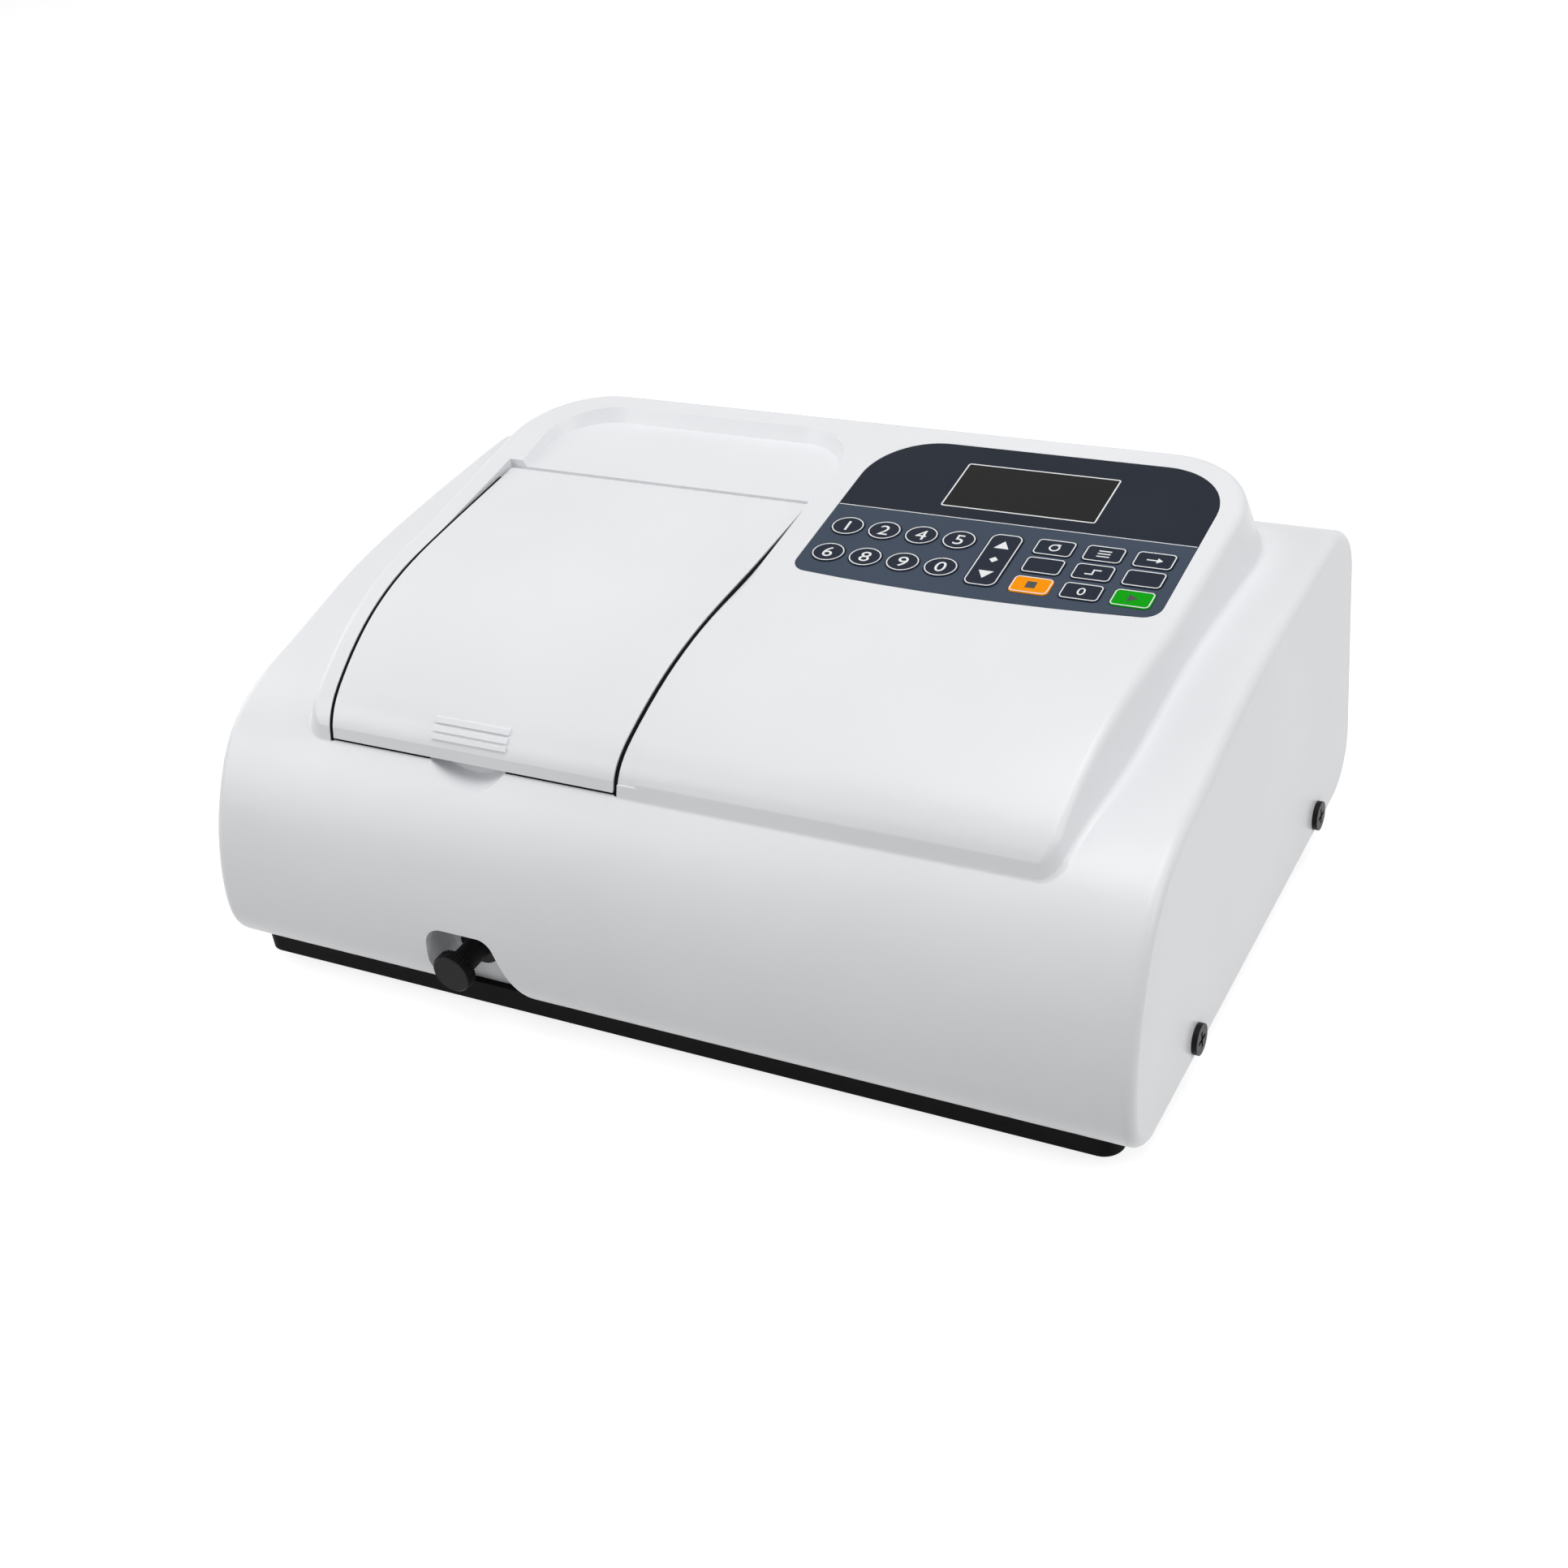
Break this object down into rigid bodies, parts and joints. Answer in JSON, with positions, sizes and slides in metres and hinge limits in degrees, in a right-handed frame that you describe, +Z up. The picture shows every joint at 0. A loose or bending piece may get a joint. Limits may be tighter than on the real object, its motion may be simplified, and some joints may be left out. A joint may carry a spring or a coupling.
{
  "type": "uv-vis spectrophotometer",
  "caption": "Bench spectrophotometer: curved white cover, hinged lid over a sample chamber, pull rod moving a cell carriage, sloping keypad with display.",
  "frame": {"origin": "on the bench plane, under the middle of the instrument's overall box", "axes": "+X to the instrument's right as its user faces it, +Y to its rear, +Z up"},
  "size_m": [0.465, 0.312, 0.1901],
  "materials": {
    "cover_white": "white moulded plastic, satin gloss",
    "base_black": "black textured powder coat",
    "black_rubber": "matte black rubber",
    "black_steel": "black oxide steel",
    "bright_steel": "ground steel",
    "black_anodised": "black anodised aluminium",
    "knob_black": "black moulded plastic with a fine knurl",
    "overlay_slate": "printed overlay film, charcoal above and slate below",
    "display_glass": "smoked window",
    "circuit_green": "green circuit board",
    "key_dark": "dark navy rubbery plastic",
    "key_orange": "orange key",
    "key_green": "green key",
    "cast_aluminium": "cast and machined aluminium",
    "mirror_coat": "coated optical surface",
    "quartz": "fused quartz",
    "sheet_grey": "grey coated sheet steel",
    "acetal_white": "white acetal plastic",
    "motor_black": "black motor body",
    "black_plastic": "black moulded plastic",
    "port_steel": "plated connector shell"
  },
  "bodies": {
    "cabinet": {"housing_cover": "cover_white", "base_pan": "base_black", "rubber_feet": "black_rubber", "lid_seal": "black_rubber", "side_screws": "black_steel", "hinge_pins": "bright_steel", "guide_rails": "bright_steel", "sample_chamber": "black_anodised", "detector_module": "black_anodised", "rod_bush": "knob_black", "control_overlay": "overlay_slate", "display_window": "display_glass", "keypad_board": "circuit_green", "main_board": "circuit_green", "display_module": "circuit_green", "optics_plate": "cast_aluminium", "monochromator_case": "cast_aluminium", "monochromator_lid": "cast_aluminium", "power_supply": "cast_aluminium", "curved_mirrors": "mirror_coat", "chamber_windows": "quartz", "halogen_lamp": "quartz", "deuterium_lamp": "quartz", "lamp_house": "sheet_grey", "rear_panel": "sheet_grey", "stepper_motor": "motor_black", "filter_motor": "motor_black", "fan_frame": "black_plastic", "mains_inlet": "black_plastic", "switch_body": "black_plastic", "data_port": "port_steel"},
    "lid_assembly": {"lid": "cover_white"},
    "pull_carriage": {"pull_rod": "black_steel", "pull_knob": "knob_black", "cell_carriage": "black_anodised"},
    "arrow_rocker": {"arrow_rocker": "key_dark"},
    "switch_rocker": {"switch_rocker": "black_plastic"},
    "fan_rotor": {"fan_rotor": "black_plastic"},
    "filter_wheel": {"filter_wheel": "black_anodised"},
    "lead_screw": {"lead_screw": "bright_steel"},
    "drive_nut": {"drive_nut": "acetal_white"},
    "grating_table": {"grating_table": "cast_aluminium", "grating": "mirror_coat"},
    "key_1": {"key_1": "key_dark"},
    "key_2": {"key_2": "key_dark"},
    "key_4": {"key_4": "key_dark"},
    "key_5": {"key_5": "key_dark"},
    "key_6": {"key_6": "key_dark"},
    "key_8": {"key_8": "key_dark"},
    "key_9": {"key_9": "key_dark"},
    "key_0": {"key_0": "key_dark"},
    "function_key_1": {"function_key_1": "key_dark"},
    "function_key_2": {"function_key_2": "key_dark"},
    "function_key_3": {"function_key_3": "key_dark"},
    "function_key_4": {"function_key_4": "key_dark"},
    "function_key_5": {"function_key_5": "key_dark"},
    "function_key_6": {"function_key_6": "key_dark"},
    "function_key_7": {"function_key_7": "key_orange"},
    "function_key_8": {"function_key_8": "key_dark"},
    "function_key_9": {"function_key_9": "key_green"}
  },
  "joints": [
    {"name": "lid_hinge", "type": "hinge", "parent": "cabinet", "child": "lid_assembly", "pos_m": [-0.0921, 0.067, 0.1756], "axis": [-1, 0, 0], "range_deg": [0, 80]},
    {"name": "cell_pull", "type": "slide", "parent": "cabinet", "child": "pull_carriage", "axis": [0, -1, 0], "range_m": [0, 0.048]},
    {"name": "arrow_rock", "type": "hinge", "parent": "cabinet", "child": "arrow_rocker", "pos_m": [0.1002, 0.03878, 0.1762], "axis": [1, 0, 0], "range_deg": [-1.1, 1.1], "stiffness_Nm_per_rad": 0.05},
    {"name": "power_rock", "type": "hinge", "parent": "cabinet", "child": "switch_rocker", "pos_m": [-0.094, 0.1505, 0.072], "axis": [1, 0, 0], "range_deg": [0, 8]},
    {"name": "fan_spin", "type": "hinge", "parent": "cabinet", "child": "fan_rotor", "pos_m": [0.176, 0.1435, 0.086], "axis": [0, 1, 0], "continuous": true},
    {"name": "filter_turn", "type": "hinge", "parent": "cabinet", "child": "filter_wheel", "pos_m": [0.1085, 0.065, 0.047], "axis": [1, 0, 0], "continuous": true},
    {"name": "screw_turn", "type": "hinge", "parent": "cabinet", "child": "lead_screw", "pos_m": [0.088, 0.045, 0.062], "axis": [0, 1, 0], "range_deg": [-720, 720]},
    {"name": "nut_slide", "type": "slide", "parent": "cabinet", "child": "drive_nut", "axis": [0, 1, 0], "range_m": [-0.0085, 0.0085]},
    {"name": "grating_turn", "type": "hinge", "parent": "cabinet", "child": "grating_table", "pos_m": [0.03, 0.045, 0.026], "axis": [0, 0, 1], "range_deg": [-12.2, 12.2]},
    {"name": "key_1_press", "type": "slide", "parent": "cabinet", "child": "key_1", "axis": [0, 0.1305, -0.9914], "range_m": [0, 0.0004], "stiffness_N_per_m": 300, "springref_m": -0.0005},
    {"name": "key_2_press", "type": "slide", "parent": "cabinet", "child": "key_2", "axis": [0, 0.1305, -0.9914], "range_m": [0, 0.0004], "stiffness_N_per_m": 300, "springref_m": -0.0005},
    {"name": "key_4_press", "type": "slide", "parent": "cabinet", "child": "key_4", "axis": [0, 0.1305, -0.9914], "range_m": [0, 0.0004], "stiffness_N_per_m": 300, "springref_m": -0.0005},
    {"name": "key_5_press", "type": "slide", "parent": "cabinet", "child": "key_5", "axis": [0, 0.1305, -0.9914], "range_m": [0, 0.0004], "stiffness_N_per_m": 300, "springref_m": -0.0005},
    {"name": "key_6_press", "type": "slide", "parent": "cabinet", "child": "key_6", "axis": [0, 0.1305, -0.9914], "range_m": [0, 0.0004], "stiffness_N_per_m": 300, "springref_m": -0.0005},
    {"name": "key_8_press", "type": "slide", "parent": "cabinet", "child": "key_8", "axis": [0, 0.1305, -0.9914], "range_m": [0, 0.0004], "stiffness_N_per_m": 300, "springref_m": -0.0005},
    {"name": "key_9_press", "type": "slide", "parent": "cabinet", "child": "key_9", "axis": [0, 0.1305, -0.9914], "range_m": [0, 0.0004], "stiffness_N_per_m": 300, "springref_m": -0.0005},
    {"name": "key_0_press", "type": "slide", "parent": "cabinet", "child": "key_0", "axis": [0, 0.1305, -0.9914], "range_m": [0, 0.0004], "stiffness_N_per_m": 300, "springref_m": -0.0005},
    {"name": "function_key_1_press", "type": "slide", "parent": "cabinet", "child": "function_key_1", "axis": [0, 0.1305, -0.9914], "range_m": [0, 0.0004], "stiffness_N_per_m": 300, "springref_m": -0.0005},
    {"name": "function_key_2_press", "type": "slide", "parent": "cabinet", "child": "function_key_2", "axis": [0, 0.1305, -0.9914], "range_m": [0, 0.0004], "stiffness_N_per_m": 300, "springref_m": -0.0005},
    {"name": "function_key_3_press", "type": "slide", "parent": "cabinet", "child": "function_key_3", "axis": [0, 0.1305, -0.9914], "range_m": [0, 0.0004], "stiffness_N_per_m": 300, "springref_m": -0.0005},
    {"name": "function_key_4_press", "type": "slide", "parent": "cabinet", "child": "function_key_4", "axis": [0, 0.1305, -0.9914], "range_m": [0, 0.0004], "stiffness_N_per_m": 300, "springref_m": -0.0005},
    {"name": "function_key_5_press", "type": "slide", "parent": "cabinet", "child": "function_key_5", "axis": [0, 0.1305, -0.9914], "range_m": [0, 0.0004], "stiffness_N_per_m": 300, "springref_m": -0.0005},
    {"name": "function_key_6_press", "type": "slide", "parent": "cabinet", "child": "function_key_6", "axis": [0, 0.1305, -0.9914], "range_m": [0, 0.0004], "stiffness_N_per_m": 300, "springref_m": -0.0005},
    {"name": "function_key_7_press", "type": "slide", "parent": "cabinet", "child": "function_key_7", "axis": [0, 0.1305, -0.9914], "range_m": [0, 0.0004], "stiffness_N_per_m": 300, "springref_m": -0.0005},
    {"name": "function_key_8_press", "type": "slide", "parent": "cabinet", "child": "function_key_8", "axis": [0, 0.1305, -0.9914], "range_m": [0, 0.0004], "stiffness_N_per_m": 300, "springref_m": -0.0005},
    {"name": "function_key_9_press", "type": "slide", "parent": "cabinet", "child": "function_key_9", "axis": [0, 0.1305, -0.9914], "range_m": [0, 0.0004], "stiffness_N_per_m": 300, "springref_m": -0.0005}
  ],
  "couplings": [
    {"joint": "nut_slide", "follows": "screw_turn", "m_per_rad": 0.00063662},
    {"joint": "grating_turn", "follows": "screw_turn", "ratio": 0.015915}
  ]
}
